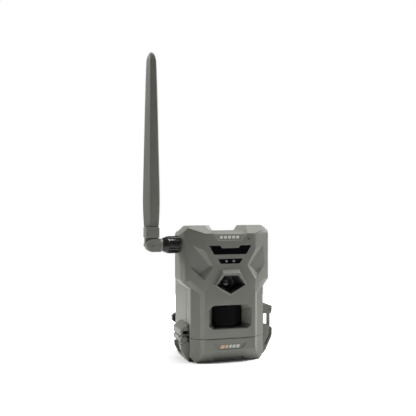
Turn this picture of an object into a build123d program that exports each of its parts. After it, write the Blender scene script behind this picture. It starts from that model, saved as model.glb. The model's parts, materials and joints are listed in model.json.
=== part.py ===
"""Trail camera: a two-shell housing, a hinged bottom door with a draw latch, and a folding antenna.

Everything is drawn with Y = 0 on the front face, Y growing to the rear, X to the right seen from the
front and Z = 0 on the base. save() then moves it so that the origin is the middle of the base.
"""
import os

from build123d import *

# ---- Driving dimensions, mm ----
ORIGIN_DEPTH = 38.0  # from the front face back to the origin
HEIGHT = 133.0
BODY_DEPTH = 70.0
BODY_HALF = 38.0  # half width below the head
HEAD_HALF = 46.2  # half width of the head
HEAD_EDGE = (43.0, 10.2)  # X, Y where the shoulder meets the edge strip
HEAD_FRONT = 16.0  # the head's flank runs from here
HEAD_BACK = 36.0  # to here
WAIST_BACK = 44.5  # where the flank has come in to the body's width
SHOULDER_BACK = 46.5  # the two shoulders of the top end here
SHOULDER_FALL = 1.4  # and are this much lower there
REAR_TOP = 125.4  # height of the top behind and between them
HEAD_WALL = 3.6
CROWN = (8.6, 8.8)  # X, Z of the bevel round the top
PLATE_HALF = 25.9  # half width of the flat front plate
PARTING = 24.0  # the two shells meet at this depth
PARTING_GAP = 0.1  # each shell stops this far from the parting plane
WALL = 2.6
INSIDE_TOP = 122.0
SPLIT_Z = 23.45  # between door and housing
SPLIT_GAP = 0.15
LED_FIRST, LED_PITCH = 2.0, 3.9  # X of the first night light, and their spacing
SEAL_HALF = 0.5  # half width of the shell seal
SEAL_DEEP = 1.6
SEAL_PATH = [  # X, Z of its middle line, right half
    (34.2, 25.0),
    (36.7, 27.5),
    (36.7, 76.5),
    (44.4, 82.0),
    (44.4, 121.6),
    (42.6, 123.7),
    (24.0, 123.7),
]
BADGE_DEPTH = 0.7  # the plain recess in the door's front
REACH = 400.0  # larger than the whole object, for cutters

HINGE = (-42.6, 21.7)  # X, Z of the door hinge
HINGE_R = 3.6
HINGE_PIN_R = 1.5
HINGE_Y = (14.6, 42.6)
KNUCKLE = 5.6  # length of each door knuckle
PIN_COVER = 1.0  # the plastic left over the end of a moulded-in pin
FIT = 0.05  # radial clearance of a running fit
GAP = 0.4  # clearance between moving pieces

LEVER_PIVOT = (42.4, 27.0)  # X, Z on the latch base
LINK_PIVOT = (46.6, 22.4)
LATCH_PIN_R = 1.2
LATCH_Y = (15.0, 43.0)
EAR = 3.2  # thickness of each latch ear
ARM = 3.0  # width of each link arm
HEAD_RIB = 2.6  # spacing of the grip grooves in the link's head

ANT_Y, ANT_Z = 19.5, 114.3  # antenna connector axis
JACK_SEAT = (-HEAD_HALF, 1.2 - HEAD_HALF)  # the jack's flange lies flush in the flank
JACK_FLANGE_R = 4.3
TILT_X = -74.0
STUB_R = 6.2
CHEEK_R = 6.5
TONGUE = 3.0  # half thickness of the tilting tongue
BLADE_LEVELS = [  # Z, half width, half depth
    (130.6, 5.6, 3.9),
    (134.5, 7.3, 4.7),
    (156.0, 8.15, 5.2),
    (294.0, 4.95, 3.5),
    (298.2, 3.2, 2.2),
    (300.5, 0.7, 0.6),
]

CELL_R, CELL_L = 7.2, 50.4
CELL_X = (-22.2, -7.4, 7.4, 22.2)
CELL_Y = (41.6, 56.8)
CELL_Z = 30.0

STRAP_Z = (45.5, 72.5)  # strap channel, height
STRAP_DEPTH = 4.6  # strap channel, front to back

# X, Z of the opening round the motion lens, right half
MOTION_THROAT = [(13.0, 33.6), (15.6, 36.4), (15.6, 51.4), (13.0, 53.8)]
LENS_TIP = (0.0, 66.7)  # X, Z of the lens opening's lowest point
SCREW_PLACES = [(side * px, pz) for px, pz in ((34.0, 31.0), (34.0, 74.0), (30.6, 118.0)) for side in (-1, 1)]
BRACKET_SCREWS = [(side * 24.0, pz) for pz in (33.5, 80.5) for side in (-1, 1)]

saved = []


# ---- Helpers ----
def block(x, y, z):
    """A box from (low, high) pairs."""
    size = [high - low for low, high in (x, y, z)]
    middle = [(high + low) / 2 for low, high in (x, y, z)]
    return Pos(*middle) * Box(*size)


def prism(points, direction, amount):
    """A closed outline of 3-D points, extruded along direction."""
    face = make_face(Polyline(*points, close=True))
    return extrude(face, amount=amount, dir=direction)


def prism_y(points, y):
    return prism([(px, y[0], pz) for px, pz in points], (0, 1, 0), y[1] - y[0])


def prism_x(points, x):
    return prism([(x[0], py, pz) for py, pz in points], (1, 0, 0), x[1] - x[0])


def prism_z(points, z):
    return prism([(px, py, z[0]) for px, py in points], (0, 0, 1), z[1] - z[0])


def symmetric(points):
    """An outline given on the right, closed by its mirror image on the left."""
    return points + [(-px, other) for px, other in reversed(points)]


def rod_x(x, y, z, radius):
    length = x[1] - x[0]
    return Pos((x[0] + x[1]) / 2, y, z) * Rot(0, 90, 0) * Cylinder(radius, length)


def rod_y(x, y, z, radius):
    length = y[1] - y[0]
    return Pos(x, (y[0] + y[1]) / 2, z) * Rot(90, 0, 0) * Cylinder(radius, length)


def rod_z(x, y, z, radius):
    return Pos(x, y, (z[0] + z[1]) / 2) * Cylinder(radius, z[1] - z[0])


def beyond(a, b, c, outside):
    """The half of space past the plane through a, b and c that holds the point outside."""
    start = Vector(*a)
    normal = (Vector(*b) - start).cross(Vector(*c) - start).normalized()
    if normal.dot(Vector(*outside) - start) < 0:
        normal = normal * -1
    return Plane(origin=start, z_dir=normal) * Pos(0, 0, REACH / 2) * Box(REACH, REACH, REACH)


def flip(shape):
    """The mirror image on the other side of the camera."""
    return mirror(shape, about=Plane.YZ)


def save(name, *shapes):
    """Write one node from one or more separate solids."""
    solids = [solid for shape in shapes for solid in shape.solids()]
    whole = solids[0] if len(solids) == 1 else Compound(children=solids)
    export_step(Pos(0, -ORIGIN_DEPTH, 0) * whole, f"parts/{name}.step")
    saved.append(name)


# ---- Outer form ----
def side_pocket():
    """The four-sided recess in the right of the head, between the arms of the front plate."""
    inner, low = (17.5, 0, 94.0), (26.0, 0, 80.2)
    deep = (21.2, 2.8, 94.3)
    outer, top = (39.1, 7.2, 94.0), (36.6, 5.8, 115.2)
    pocket = block((10, 44), (-6, 16), (74, 122))
    pocket -= beyond((36.0, 6.1, 114.0), (22.5, 2.8, 94.5), (27.5, 4.8, 84.2), (30, 40, 95))
    pocket -= beyond(inner, low, deep, (10, -5, 80))
    pocket -= beyond(low, outer, (27.5, 4.8, 84.2), (40, -5, 78))
    pocket -= beyond(top, inner, deep, (10, -5, 120))
    return pocket


def top_channel():
    """The channel over the top: a funnel in the front shell that opens on to the lower rear top."""
    mouth = symmetric([(12.3, 118.6), (23.6, 135.0)])
    throat = symmetric([(5.5, 118.6), (16.4, 135.0)])
    ends = ((-4, mouth), (12.0, mouth), (22.0, throat), (PARTING + 0.5, throat))
    funnel = prism_y(mouth, (-4, 12.0))
    for (y, outline), (next_y, next_outline) in zip(ends[1:], ends[2:]):
        corners = [(px, y, pz) for px, pz in outline] + [(px, next_y, pz) for px, pz in next_outline]
        funnel += ConvexPolyhedron(corners)
    floor = [(-4, 118.6), (1.2, 118.6), (3.6, 125.0), (14, 127.7), (80, 127.7), (80, 150), (-4, 150)]
    return funnel & prism_x(floor, (-40, 40))


def rear_top():
    """What the rear half of the top is lowered by: between the shoulders, then over the whole width."""
    between = prism_y(symmetric([(25.0, REAR_TOP), (28.0, HEIGHT + 5)]), (PARTING, 80))
    shoulder = (SHOULDER_BACK, HEIGHT - SHOULDER_FALL)
    foot = (SHOULDER_BACK + 3.6, REAR_TOP)
    behind = prism_x([shoulder, foot, (80, REAR_TOP), (80, 150), (SHOULDER_BACK, 150)], (-60, 60))
    slope = beyond((0, HEAD_FRONT, HEIGHT), (1, HEAD_FRONT, HEIGHT), (0, *shoulder), (0, 30, 150))
    return between + behind + slope


def rear_crown():
    """The top bevel's run round the waist and along the rear half."""
    across, down = CROWN
    low = HEIGHT - down
    mitre = (BODY_HALF - across, WAIST_BACK - 3.5, HEIGHT)
    outside = (60, 60, 150)
    waist_end = (BODY_HALF, WAIST_BACK, low)
    behind = beyond(waist_end, (mitre[0], mitre[1], low), (BODY_HALF, WAIST_BACK, 10), (BODY_HALF, 80, 0))
    rear = beyond(waist_end, (BODY_HALF, BODY_DEPTH, low), (mitre[0], 60, HEIGHT), outside)
    waist = beyond((HEAD_HALF, HEAD_BACK, low), waist_end, mitre, outside)
    return (rear & behind) + (waist - behind)


def outer_form():
    """The whole case, door included, as one solid."""
    rear = [(BODY_HALF, BODY_DEPTH - 4.5), (BODY_HALF - 4.5, BODY_DEPTH)]
    low_plan = [(PLATE_HALF, 0), (29.5, 4.4), (37.7, 9.2)] + rear
    lower = prism_z(symmetric(low_plan), (0, 90))
    head_plan = [(26.0, 0), HEAD_EDGE, (HEAD_HALF, HEAD_FRONT), (HEAD_HALF, HEAD_BACK)]
    head = prism_z(symmetric(head_plan + [(BODY_HALF, WAIST_BACK)] + rear), (64, HEIGHT))
    crown_low = HEIGHT - CROWN[1]
    head_face = [(30.2, 64.0), (HEAD_HALF, 80.0), (HEAD_HALF, crown_low), (HEAD_HALF - CROWN[0], HEIGHT)]
    head &= prism_y(symmetric(head_face), (0, 80))
    facet = beyond((36.4, 5.2, 80.4), (27.6, 0.8, 71.0), (29.8, 5.0, 66.0), (44, -10, 66))
    facet &= prism_y([(10, 50), (60, 50), (60, 74.0), (36.4, 80.4), (10, 87.5)], (-20, 40))
    head -= facet
    head -= flip(facet)
    case = lower + head
    case -= beyond((0, 0, 125.5), (1, 0, 125.5), (0, 14.5, 132.9), (0, -10, 150))
    corner = beyond(HEAD_EDGE + (126.5,), (37.6, 10.2, HEIGHT), (34.0, 4.8, 125.5), (44, -10, 150))
    corner += rear_crown()
    case -= corner
    case -= flip(corner)
    case -= top_channel() + rear_top()
    case -= side_pocket()
    case -= flip(side_pocket())
    case -= prism_x([(-1, 12.4), (0, 12.4), (5.8, 3.0), (5.8, -1), (-1, -1)], (-60, 60))
    case -= prism_x([(-1, -1), (7.2, -1), (7.2, 0), (5.8, 3.0), (-1, 3.0)], (-60, 60))
    case -= prism_y(symmetric([(14.6, 4.7), (17.6, -1.0)]), (-2, 9))
    case -= prism_y(symmetric([(11.8, 12.9), (16.4, 18.8)]), (-1, BADGE_DEPTH))
    for side in (-1, 1):
        case -= beyond(
            (side * BODY_HALF, 20, 6.0), (side * BODY_HALF, 50, 6.0), (side * 32.5, 20, 0), (side * 60, 0, -10)
        )
    return case


def inside_form():
    """The hollow inside the housing, above the door."""
    low = block((-BODY_HALF + WALL, BODY_HALF - WALL), (10.8, BODY_DEPTH - WALL), (26.8, INSIDE_TOP))
    head = block((-HEAD_HALF + HEAD_WALL, HEAD_HALF - HEAD_WALL), (13.4, 33.5), (82.0, INSIDE_TOP))
    front = block((-15.0, 15.0), (3.0, 11.0), (60.5, 117.0))
    bay = block((-32.4, 32.4), (33.0, 66.2), (20, 30))
    return low + head + front + bay


# ---- Front openings ----
IR_OUTLINE = symmetric([(16.4, 105.0), (21.7, 113.8), (10.6, 113.8), (8.4, 111.2)])
STATUS_OUTLINE = symmetric([(9.8, 96.1), (12.7, 100.9)])


def pentagon(grow=0.0):
    """The lens opening's outline, grown outwards."""
    tip_x, tip_z = LENS_TIP
    right = [(14.8 + grow * 1.25, 75.4), (7.3 + grow * 0.8, 84.9 + grow)]
    return [(tip_x, tip_z - grow * 1.15)] + symmetric(right)


def pir_opening():
    """The funnel in front of the motion sensor."""
    mouth = symmetric([(17.7, 32.6), (22.0, 36.0), (22.0, 52.2), (17.7, 56.2)])
    throat = symmetric(MOTION_THROAT)
    points = [(px, -0.02, pz) for px, pz in mouth] + [(px, 11.0, pz) for px, pz in throat]
    return ConvexPolyhedron(points) + prism_y(throat, (10.9, 16))


def lens_hood():
    """The raised brow around the lens."""
    foot = [(0, 64.4)] + symmetric([(17.0, 76.2), (8.7, 90.8)])
    rim = [(0.0, -0.6, 65.6), (15.6, -2.4, 75.8), (8.6, -3.6, 87.0), (-8.6, -3.6, 87.0), (-15.6, -2.4, 75.8)]
    return ConvexPolyhedron([(px, 0.5, pz) for px, pz in foot] + rim)


def make_front_housing(case, hollow):
    front = case & block((-60, 60), (-1, PARTING - PARTING_GAP), (SPLIT_Z + SPLIT_GAP, 140))
    front += lens_hood()
    towers = block((-24.2, 24.2), (2, 14.0), (28, 59.0)) + block((-18, 18), (2, 13.5), (62.0, 93.0))
    front -= hollow - towers
    front -= prism_y(IR_OUTLINE, (-1, 2.0)) + prism_y(STATUS_OUTLINE, (-1, 2.0))
    light_hole = prism_y(symmetric([(15.6, 105.4), (19.4, 112.4)]), (1, 12))
    front -= light_hole & block((-30, 30), (0, 12), (100, 112.3))
    front -= block((-6.4, 6.4), (1, 6), (96.8, 100.2)) + block((-20.2, 20.2), (5.8, 11), (103.8, 113.0))
    front -= prism_y(pentagon(0.0), (-6, 13.6))
    front -= pir_opening()
    front -= rod_y(18.9, (-1, 12), 120.0, 0.9)
    front -= rod_x((-50, -38), ANT_Y, ANT_Z, 3.25)
    front -= rod_x((-50, JACK_SEAT[1]), ANT_Y, ANT_Z, JACK_FLANGE_R + FIT)
    front -= block((-29, 29), (12.4, 22.2), (20, 25.0)) + block((-27, 27), (13.6, 21.0), (20, 30))
    for px, pz in SCREW_PLACES:
        post = rod_y(px, (9.0, PARTING - PARTING_GAP), pz, 3.0)
        front += post & case
        front -= rod_y(px, (15.0, 30), pz, 1.25)
    save("front_housing", front)


def hinge_block():
    """The housing's half of the hinge: a hollow block over the pin and the middle knuckle."""
    x, z = HINGE
    top = [(-BODY_HALF + 0.5, 26.0), (-46.2, 26.0), (-46.2, 32.1), (-39.5, 36.6), (-BODY_HALF + 0.5, 37.2)]
    body = prism_y(top, HINGE_Y) - block((-BODY_HALF - GAP, -30), (0, PARTING), (20, 40))
    body -= block((-43.8, -36.0), (0, 24.4), (27.0, 30.4))
    middle = (HINGE_Y[0] + KNUCKLE + GAP, HINGE_Y[1] - KNUCKLE - GAP)
    body += rod_y(x, middle, z, HINGE_R)
    body += prism_y([(x - HINGE_R, z), (x + 2.4, z), (x + 2.4, 26.5), (x - HINGE_R, 26.5)], middle)
    body -= block((-48, -45.2), (21.0, 36.2), (25.2, 26.2))
    return body - rod_y(x, (0, 60), z, HINGE_PIN_R + FIT)


def latch_keeper():
    """The catch on the right flank, which the link's head closes against."""
    shape = [(BODY_HALF - 0.5, 42.8), (43.8, 42.8), (43.8, 51.6), (40.8, 52.4), (BODY_HALF - 0.5, 54.4)]
    body = prism_y(shape, (17.0, 41.0))
    return body - block((30, BODY_HALF + GAP), (0, PARTING), (30, 60))


def make_rear_housing(case, hollow):
    rear = case & block((-60, 60), (PARTING + PARTING_GAP, 90), (SPLIT_Z + SPLIT_GAP, 140))
    rear -= hollow
    rear += block((-8, 8), (58.0, BODY_DEPTH - 1), (90.0, 106.0))
    rear += block((-33, 33), (63.0, BODY_DEPTH - 1), (112.0, 118.0))
    rear += hinge_block() + latch_keeper()
    for px, pz in SCREW_PLACES:
        rear += rod_y(px, (PARTING + PARTING_GAP, 69.0), pz, 3.0) & case
        rear -= rod_y(px, (20, 90), pz, 1.4) + rod_y(px, (67.4, 90), pz, 2.7)
    rear -= rod_y(0, (61.0, 90), 98.0, 4.4)
    for px, pz in BRACKET_SCREWS:
        rear -= rod_y(px, (BODY_DEPTH - WALL + 0.4, 90), pz, 1.3)
    rear -= seal_ring()
    save("rear_housing", rear)


def seal_ring():
    """The seal between the two shells, in a groove round the rear shell's rim."""
    front = PARTING - PARTING_GAP
    face = make_face(Polyline(*[(px, front, pz) for px, pz in symmetric(SEAL_PATH)], close=True))
    outer = offset(face, SEAL_HALF, kind=Kind.INTERSECTION)
    inner = offset(face, -SEAL_HALF, kind=Kind.INTERSECTION)
    return extrude(outer, amount=SEAL_DEEP, dir=(0, 1, 0)) - extrude(inner, amount=SEAL_DEEP, dir=(0, 1, 0))


# ---- Fixed pieces on and in the housing ----
def make_windows():
    notch = prism_y(IR_OUTLINE, (0.5, 2.0))
    save("ir_window", notch)
    status = prism_y(STATUS_OUTLINE, (0.5, 2.0))
    lights = [rod_y(side * 3.8, (0.45, 3.4), 98.6, 1.3) for side in (-1, 1)]
    save("status_window", status - lights[0] - lights[1])
    save("status_lights", *lights)


def make_optics():
    bezel = prism_y(pentagon(0.0), (-0.4, 13.2))
    funnel = [(px, -0.5, pz) for px, pz in pentagon(-1.1)]
    back = [(px * 0.66, 11.2, 75.8 + (pz - 75.8) * 0.82) for px, pz in pentagon(-1.1)]
    bezel -= ConvexPolyhedron(funnel + back)
    bezel -= rod_y(0, (8, 20), 76.0, 6.0)
    save("lens_bezel", bezel)
    barrel = rod_y(0, (9.6, 18.0), 76.0, 6.0)
    barrel -= rod_y(0, (9.0, 11.4), 76.0, 4.8) + rod_y(0, (11, 19), 76.0, 3.6)
    save("lens_barrel", barrel)
    glass = rod_y(0, (9.0, 11.4), 76.0, 4.8)
    save("lens_glass", glass & (Pos(0, 20.4, 76.0) * Sphere(10.5)))
    board = block((-13, 13), (18.0, 19.4), (64.0, 88.0))
    save("camera_board", board)
    save("image_sensor", block((-2.4, 2.4), (16.8, 18.0), (73.6, 78.4)))
    save("mic_mesh", rod_y(18.9, (1.2, 1.8), 120.0, 0.9))


def make_motion_sensor():
    half, bulge, thick = 15.2, 5.6, 0.9
    rear, low, tall = 10.6, 33.8, 19.8
    front = rear - bulge
    arc = ThreePointArc((-half, rear, low), (0, front, low), (half, rear, low))
    back = ThreePointArc((half - thick, rear, low), (0, front + thick, low), (thick - half, rear, low))
    ends = Line((half, rear, low), (half - thick, rear, low))
    ends += Line((thick - half, rear, low), (-half, rear, low))
    lens = extrude(make_face(arc + back + ends), amount=tall, dir=(0, 0, 1))
    lens &= prism_y(symmetric(MOTION_THROAT), (0, 16)) & pir_opening()
    save("pir_lens", lens)
    save("pir_sensor", rod_y(0, (25.0, 29.4), 44.4, 4.6))


def make_electronics():
    save("main_board", block((-30.4, 30.4), (29.4, 31.0), (32.0, 110.0)))
    save("modem_module", block((-26, 2), (26.6, 29.4), (78.0, 106.0)))
    save("ir_board", block((-19.5, 19.5), (6.4, 7.6), (104.4, 112.2)))
    columns = [side * (LED_FIRST + LED_PITCH * step) for side in (-1, 1) for step in range(4)]
    save("ir_leds", *[rod_y(px, (3.0, 6.4), pz, 1.4) for pz in (107.0, 110.4) for px in columns])
    ring = rod_x(JACK_SEAT, ANT_Y, ANT_Z, JACK_FLANGE_R)
    jack = ring + rod_x((-51.0, -39.0), ANT_Y, ANT_Z, 3.1)
    save("antenna_jack", jack - rod_x((-52, -49), ANT_Y, ANT_Z, 1.0))
    save("jack_nut", rod_x((-42.6, -40.4), ANT_Y, ANT_Z, 4.9) - rod_x((-43, -40), ANT_Y, ANT_Z, 3.1))


def make_controls():
    panel = block((-28.6, 28.6), (12.8, 21.8), (23.6, 24.9))
    panel -= rod_z(-21.0, 17.3, (20, 30), 3.3) + rod_z(-10.5, 17.3, (20, 30), 2.3)
    panel -= block((-1.0, 11.4), (16.0, 17.6), (20, 30)) + block((14.8, 24.2), (16.0, 17.6), (20, 30))
    save("control_panel", panel)
    save("power_button", rod_z(-21.0, 17.3, (22.0, 26.4), 3.0))
    save("test_button", rod_z(-10.5, 17.3, (22.2, 26.4), 2.0))
    switches = [block((px - 2.6, px + 2.6), (14.7, 19.9), (27.4, 30.0)) for px in (-21.0, -10.5)]
    save("tact_switches", *switches)
    for name, px, width, length in (("memory", 5.2, 11.0, 15.0), ("sim", 19.5, 8.8, 12.3)):
        card = block((px - width / 2, px + width / 2), (16.4, 17.2), (21.4, 21.4 + length))
        cage_x = (px - width / 2 - 1.0, px + width / 2 + 1.0)
        cage = block(cage_x, (15.2, 18.4), (26.9, 24.6 + length))
        cage -= block((px - width / 2 - 0.3, px + width / 2 + 0.3), (16.1, 17.5), (20, 22.4 + length))
        save(f"{name}_card", card)
        save(f"{name}_slot", cage)
    save("control_board", block((-27, 27), (20.4, 21.8), (27.0, 44.0)))


def make_battery():
    tray = block((-30.3, 30.3), (33.4, 65.2), (25.0, 85.0))
    for cx in CELL_X:
        for cy in CELL_Y:
            tray -= rod_z(cx, cy, (28.0, 82.0), CELL_R + 0.15)
    tray -= block((-29.8, 29.8), (20, 38.0), (32.0, 78.0))
    tray -= block((-29.8, 29.8), (60.4, 80), (32.0, 78.0))
    tray -= block((-14.0, 14.0), (44.0, 54.0), (20.0, 26.6)) - block((-2.0, 2.0), (40, 60), (20, 30))
    save("battery_tray", tray)
    cells = []
    for cx in CELL_X:
        for cy in CELL_Y:
            body = rod_z(cx, cy, (CELL_Z, CELL_Z + CELL_L - 1.2), CELL_R)
            cells.append(body + rod_z(cx, cy, (CELL_Z + CELL_L - 1.3, CELL_Z + CELL_L), 2.6))
    save("battery_cells", *cells)
    springs = [Pos(cx, cy, 29.0) * Cone(4.6, 2.4, 2.0) for cx in CELL_X for cy in CELL_Y]
    save("battery_springs", *springs)
    plates = [block((cx - 4, cx + 4), (CELL_Y[0] - 4, CELL_Y[0] + 4), (80.4, 81.0)) for cx in CELL_X]
    plates += [block((cx - 4, cx + 4), (CELL_Y[1] - 4, CELL_Y[1] + 4), (80.4, 81.0)) for cx in CELL_X]
    save("battery_contacts", *plates)


def make_rear_fittings():
    insert = rod_y(0, (61.0, BODY_DEPTH), 98.0, 4.4) - rod_y(0, (62.0, BODY_DEPTH + 1), 98.0, 2.55)
    save("tripod_insert", insert)
    back = BODY_DEPTH + STRAP_DEPTH + 2.9
    rail = [(36.0, 28.5), (39.5, 31.0), (39.5, 36.0), (36.0, 38.6)]
    bracket = prism_y(symmetric(rail), (BODY_DEPTH, back))
    bracket += block((-30, 30), (BODY_DEPTH, back), (76.0, 85.0))
    bracket += block((-30, 30), (BODY_DEPTH + STRAP_DEPTH, back), (36.0, 78.0))
    bracket -= prism_y(symmetric([(6.0, 50.0), (16.0, 59.0), (6.0, 68.0)]), (60, 90))
    for px, pz in BRACKET_SCREWS:
        bracket -= rod_y(px, (60, 90), pz, 1.7) + rod_y(px, (back - 2.0, 90), pz, 3.2)
    save("tree_bracket", bracket)
    bolts = [
        rod_y(px, (BODY_DEPTH - WALL + 0.4, back - 1.5), pz, 1.3) + rod_y(px, (back - 2.0, back - 0.3), pz, 2.8)
        for px, pz in BRACKET_SCREWS
    ]
    save("bracket_screws", *bolts)
    screws = [
        rod_y(px, (15.0, 67.6), pz, 1.2) + rod_y(px, (67.4, 69.4), pz, 2.5)
        for px, pz in SCREW_PLACES
    ]
    save("housing_screws", *screws)
    save("housing_gasket", seal_ring())


# ---- Door, hinge and latch ----
def latch_base():
    """Two ears on the door's right flank, which carry the lever."""
    outline = [
        (BODY_HALF - 0.5, 4.2), (40.2, 3.0), (43.4, 7.0), (50.1, 20.6), (50.1, 28.8),
        (45.0, 32.6), (BODY_HALF + 0.6, 33.4), (BODY_HALF + 0.6, 22.0), (BODY_HALF - 0.5, 22.0),
    ]
    front = (LATCH_Y[0], LATCH_Y[0] + EAR)
    rear = (LATCH_Y[1] - EAR, LATCH_Y[1])
    ears = prism_y(outline, front) + prism_y(outline, rear)
    groove = [(48.5, 28.4), (46.9, 28.4), (46.9, 23.0), (41.4, 12.4), (42.9, 11.4), (48.5, 22.4)]
    ears -= prism_y(groove, (LATCH_Y[0] - 1, LATCH_Y[0] + 1.7))
    ears += prism_y([(BODY_HALF - 0.5, 5.0), (39.4, 5.0), (39.4, 21.5), (BODY_HALF - 0.5, 22.5)], LATCH_Y)
    return ears


def make_door(case):
    door = case & block((-60, 60), (-1, 90), (-1, SPLIT_Z - SPLIT_GAP))
    door -= block((-BODY_HALF + 3.2, BODY_HALF - 3.2), (11.4, BODY_DEPTH - 3.2), (3.2, 30))
    x, z = HINGE
    for y in ((HINGE_Y[0], HINGE_Y[0] + KNUCKLE), (HINGE_Y[1] - KNUCKLE, HINGE_Y[1])):
        door += rod_y(x, y, z, HINGE_R)
        root = [(x - 2.0, z - 1), (x, 14.0), (-BODY_HALF + 1, 14.0), (-BODY_HALF + 1, 19.4), (x + 1, 19.4)]
        door += prism_y(root, y)
        door -= rod_y(x, (HINGE_Y[0] + PIN_COVER, HINGE_Y[1] - PIN_COVER), z, HINGE_PIN_R)
    fin = [(-BODY_HALF + 0.5, 17.0), (-45.8, 17.0), (-45.6, 12.6), (-39.4, 1.4), (-BODY_HALF + 0.5, 0.6)]
    fin = prism_y(fin, HINGE_Y)
    hollow = [(-50, 18.0), (-42.6, 18.0), (-42.4, 13.4), (-39.0, 5.6), (-50, 5.6)]
    door += fin - prism_y(hollow, (HINGE_Y[0] + 6.2, HINGE_Y[1] - 4.2))
    ring = rod_y(x, (0, HINGE_Y[0] + 0.7), z, HINGE_R - 0.5) - rod_y(x, (0, 60), z, HINGE_R - 1.1)
    door -= ring + rod_y(x, (0, HINGE_Y[0] + 0.6), z, 0.5)
    door += latch_base()
    lever_pin = (LATCH_Y[0] + PIN_COVER, LATCH_Y[1] - PIN_COVER)
    door -= rod_y(LEVER_PIVOT[0], lever_pin, LEVER_PIVOT[1], LATCH_PIN_R)
    door -= door_seal()
    save("bottom_door", door)
    save("door_gasket", door_seal())
    save("hinge_pin", rod_y(x, (HINGE_Y[0] + PIN_COVER, HINGE_Y[1] - PIN_COVER), z, HINGE_PIN_R))
    save("latch_pin", rod_y(LEVER_PIVOT[0], lever_pin, LEVER_PIVOT[1], LATCH_PIN_R))


def door_seal():
    """The seal in the door's rim."""
    ring = block((-36.9, 36.9), (10.4, BODY_DEPTH - 1.4), (21.8, SPLIT_Z - SPLIT_GAP))
    return ring - block((-35.7, 35.7), (11.6, BODY_DEPTH - 2.4), (20, 30))


def make_latch():
    px, pz = LEVER_PIVOT
    lx, lz = LINK_PIVOT
    inner = (LATCH_Y[0] + EAR + GAP, LATCH_Y[1] - EAR - GAP)
    middle = (inner[0] + ARM + GAP, inner[1] - ARM - GAP)
    lever = rod_y(px, middle, pz, 3.2)
    plate = [
        (px - 1.5, pz + 2.6), (px + 2.4, pz + 2.0), (49.4, 26.0), (49.4, 21.0),
        (45.4, 12.4), (43.0, 12.4), (44.6, 20.0), (px - 2.0, 24.6),
    ]
    lever += prism_y(plate, middle)
    tail = [(45.8, 13.4), (42.6, 7.0), (41.8, 4.4), (40.2, 4.4), (40.0, 6.4), (43.0, 13.4)]
    lever += prism_y(tail, inner)
    lever -= rod_y(px, (0, 60), pz, LATCH_PIN_R + FIT)
    lever -= rod_y(lx, (0, 60), lz, LATCH_PIN_R)
    save("latch_lever", lever)
    save("link_pin", rod_y(lx, inner, lz, LATCH_PIN_R))
    arms = []
    for y in ((inner[0] + 0.1, inner[0] + ARM), (inner[1] - ARM, inner[1] - 0.1)):
        bar = [(lx - 1.4, lz), (lx + 1.6, lz), (lx + 2.7, lz + 9), (lx + 2.7, 44.0)]
        bar += [(lx - 0.3, 44.0), (lx - 0.3, lz + 9)]
        arms.append(rod_y(lx, y, lz, 2.3) + prism_y(bar, y))
    across = (inner[0] + 0.1, inner[1] - 0.1)
    head = prism_y([(44.2, 42.6), (50.9, 42.6), (52.7, 49.8), (44.2, 52.6)], across)
    for step in (0, 1):
        drop = HEAD_RIB * step
        rib = [(46.5, 50.6 - drop), (54, 48.2 - drop), (54, 47.5 - drop), (46.5, 49.9 - drop)]
        head -= prism_y(rib, (0, across[0] + 0.8))
        head -= prism_y(rib, (0, 60)) & block((51.4, 54), (0, 60), (40, 52))
    link = head + arms[0] + arms[1] - rod_y(lx, (0, 60), lz, LATCH_PIN_R + FIT)
    save("latch_link", link)


# ---- Antenna ----
def make_antenna():
    nut = rod_x((-57.5, -46.7), ANT_Y, ANT_Z, 8.5)
    cone = Pos(-60.4, ANT_Y, ANT_Z) * Rot(0, -90, 0) * Cone(8.5, 6.6, 5.8)
    nut = nut + cone - rod_x((-70, -40), ANT_Y, ANT_Z, 3.1 + FIT)
    save("antenna_nut", nut)

    stub = rod_x((-69.0, -63.7), ANT_Y, ANT_Z, STUB_R) + rod_x((-64.0, -51.4), ANT_Y, ANT_Z, 3.1)
    root = block((-67.2, -66.0), (ANT_Y - STUB_R, ANT_Y + STUB_R), (107.9, 120.7))
    outline = [
        (-66.5, 107.9), (-75.4, 107.9), (-80.4, 113.2), (-80.4, 115.6),
        (-78.2, 119.2), (-74.0, 120.7), (-66.5, 120.7),
    ]
    reach = rod_y(TILT_X, (0, 40), ANT_Z, CHEEK_R) + block((TILT_X, -60), (0, 40), (100, 130))
    reach += block((-90, -60), (0, 40), (100, ANT_Z))
    cheek = prism_y(outline, (ANT_Y - STUB_R, ANT_Y + STUB_R)) & reach
    elbow = stub + root + cheek
    elbow -= block((-90, -67.2), (ANT_Y - TONGUE - GAP / 2, ANT_Y + TONGUE + GAP / 2), (100, 130))
    elbow -= rod_y(TILT_X, (0, 40), ANT_Z, 1.6)
    save("antenna_elbow", elbow)
    save("elbow_pin", rod_y(TILT_X, (ANT_Y - STUB_R + 0.4, ANT_Y + STUB_R - 0.4), ANT_Z, 1.6))

    tongue = rod_y(TILT_X, (ANT_Y - TONGUE, ANT_Y + TONGUE), ANT_Z, 6.3)
    tongue += block((-80.4, -67.7), (ANT_Y - TONGUE, ANT_Y + TONGUE), (ANT_Z, 122.0))
    neck = block((-80.6, -67.4), (ANT_Y - STUB_R, ANT_Y + STUB_R), (121.6, 132.0))
    sections = []
    for pz, half, deep in BLADE_LEVELS:
        edge = 0.3 * deep
        for px, py in ((half, edge), (0, deep), (-half, edge), (-half, -edge), (0, -deep), (half, -edge)):
            sections.append((TILT_X + px, ANT_Y + py, pz))
    blade = neck + ConvexPolyhedron(sections)
    blade += tongue
    blade -= rod_y(TILT_X, (0, 40), ANT_Z, 1.6 + FIT)
    core = rod_z(TILT_X, ANT_Y, (135.0, 285.0), 1.5)
    save("antenna_blade", blade - core)
    save("radiator_core", core)


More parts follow.
